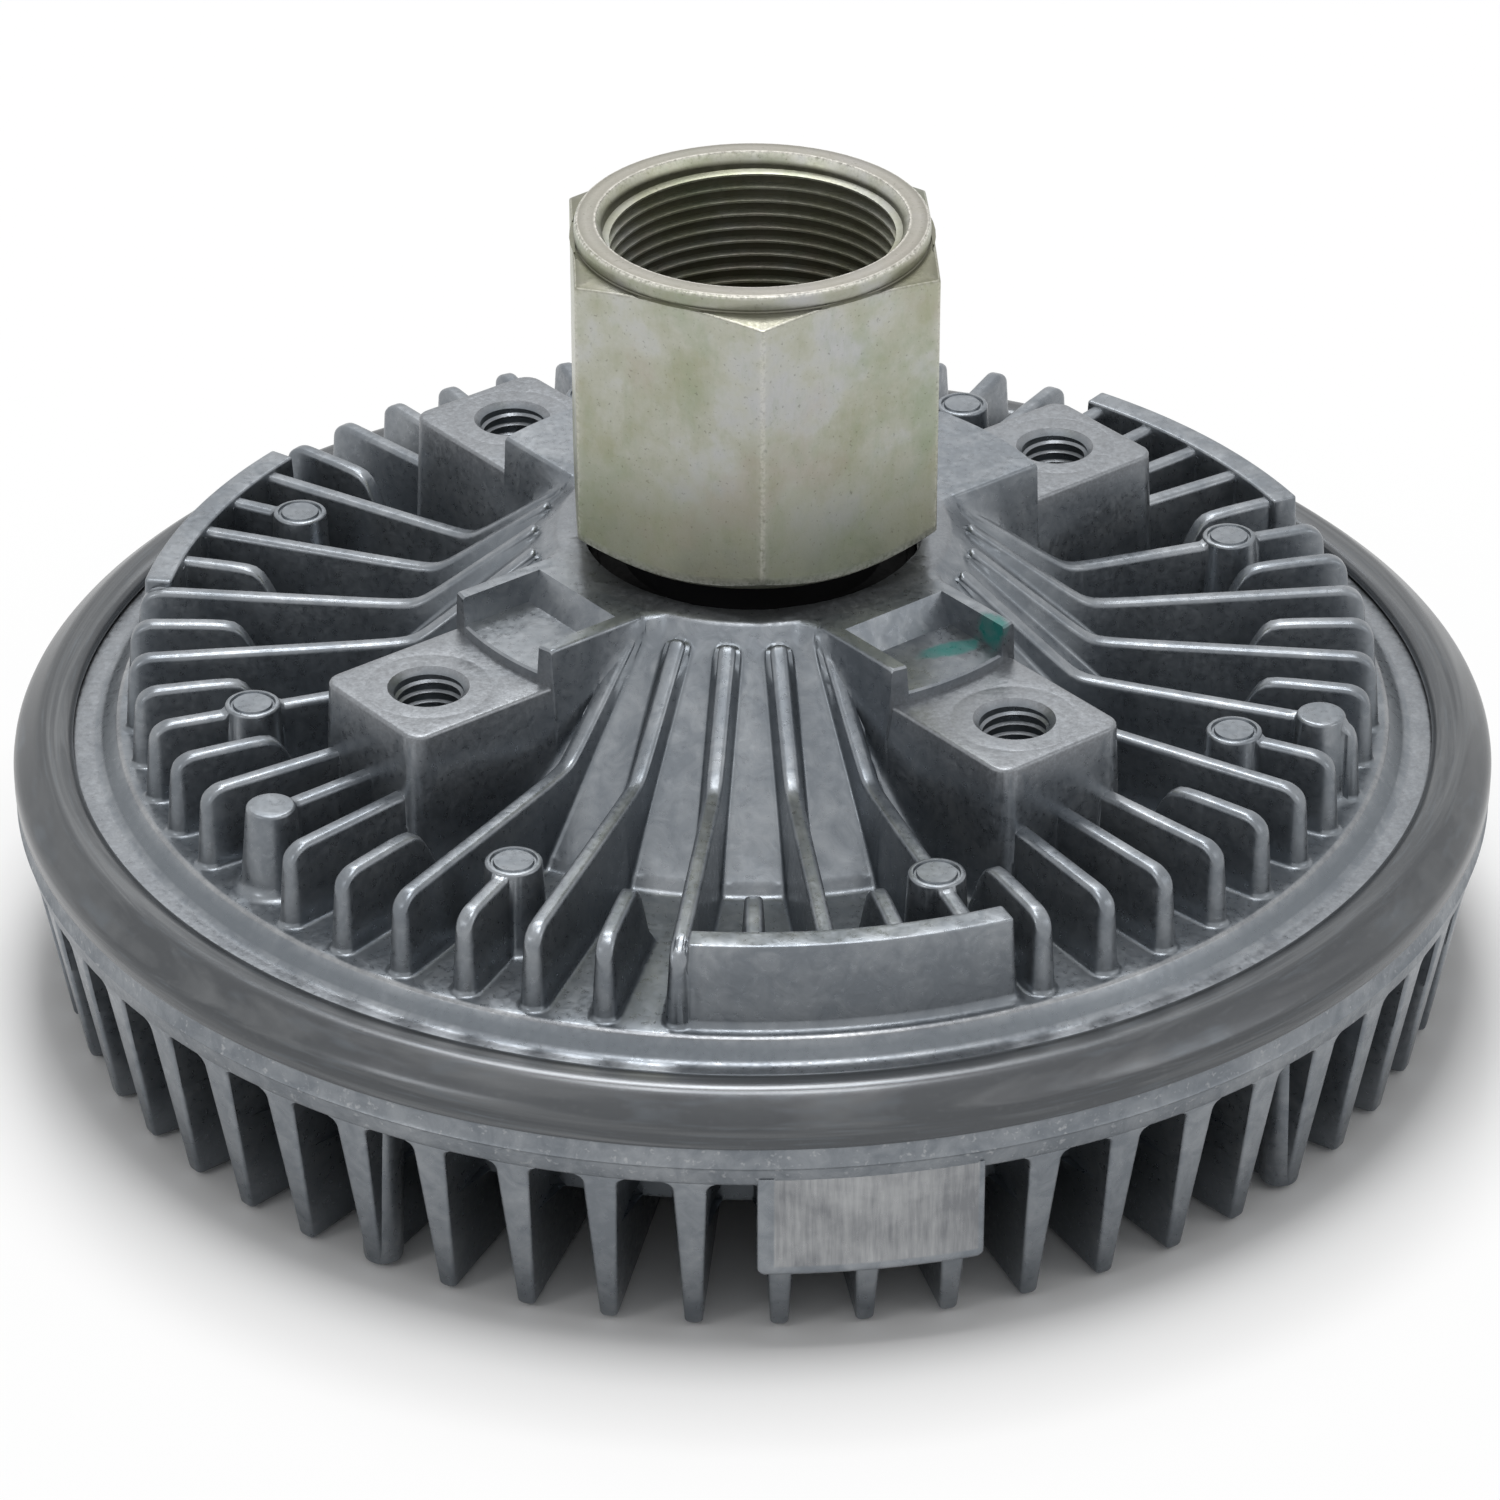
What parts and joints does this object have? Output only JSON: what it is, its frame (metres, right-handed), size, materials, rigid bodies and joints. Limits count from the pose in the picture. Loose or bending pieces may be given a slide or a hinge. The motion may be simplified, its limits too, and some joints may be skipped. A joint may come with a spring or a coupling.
{
  "type": "viscous fan clutch",
  "caption": "Viscous fan clutch: finned two-part cast aluminium case with fan bosses, turning on a sealed bearing round a hexagonal drive nut with a threaded socket.",
  "frame": {"origin": "on the clutch's axis, in the plane of the front fins' tips, on which it stands", "axes": "+Z along the axis from the front cover to the drive nut; the fan bosses are at 45 degrees to X and Y; the picture looks from -Y"},
  "size_m": [0.2039, 0.2039, 0.1108],
  "materials": {
    "cast_aluminium": "die-cast, satin, with machined pads and band",
    "yellow_zinc_steel": "worn yellow-green zinc passivation",
    "bearing_steel": "ground and polished",
    "plate_steel": "rolled sheet",
    "black_rubber": "matt",
    "cage_nylon": "moulded",
    "bimetal_strip": "rolled strip"
  },
  "bodies": {
    "case": {"rear_housing": "cast_aluminium", "front_cover": "cast_aluminium", "rim_o_ring": "black_rubber", "pump_plate": "plate_steel", "pump_plate_screw_1": "plate_steel", "pump_plate_screw_2": "plate_steel", "pump_plate_screw_3": "plate_steel", "pump_plate_screw_4": "plate_steel", "wiper_1": "cage_nylon", "wiper_2": "cage_nylon", "bearing_outer_ring": "bearing_steel", "bearing_seal_rear": "black_rubber", "bearing_seal_front": "black_rubber", "bearing_retaining_ring": "plate_steel", "bimetal_coil": "bimetal_strip"},
    "shaft": {"input_shaft": "yellow_zinc_steel", "rotor": "cast_aluminium", "bearing_inner_ring": "bearing_steel"},
    "bearing_cage": {"bearing_cage": "cage_nylon", "bearing_ball_1": "bearing_steel", "bearing_ball_2": "bearing_steel", "bearing_ball_3": "bearing_steel", "bearing_ball_4": "bearing_steel", "bearing_ball_5": "bearing_steel", "bearing_ball_6": "bearing_steel", "bearing_ball_7": "bearing_steel", "bearing_ball_8": "bearing_steel", "bearing_ball_9": "bearing_steel"},
    "valve": {"valve_shaft": "plate_steel", "valve_arm": "plate_steel", "valve_shaft_o_ring": "black_rubber"}
  },
  "joints": [
    {"name": "shaft_spin", "type": "hinge", "parent": "case", "child": "shaft", "pos_m": [0, 0, 0.054], "axis": [0, 0, 1], "continuous": true},
    {"name": "cage_spin", "type": "hinge", "parent": "case", "child": "bearing_cage", "pos_m": [0, 0, 0.054], "axis": [0, 0, 1], "continuous": true},
    {"name": "valve_turn", "type": "hinge", "parent": "case", "child": "valve", "pos_m": [0, 0, 0.0154], "axis": [0, 0, 1], "range_deg": [0, 35], "stiffness_Nm_per_rad": 0.02, "deforming": ["bimetal_coil"]}
  ],
  "couplings": [
    {"joint": "cage_spin", "follows": "shaft_spin", "ratio": 0.3974}
  ]
}
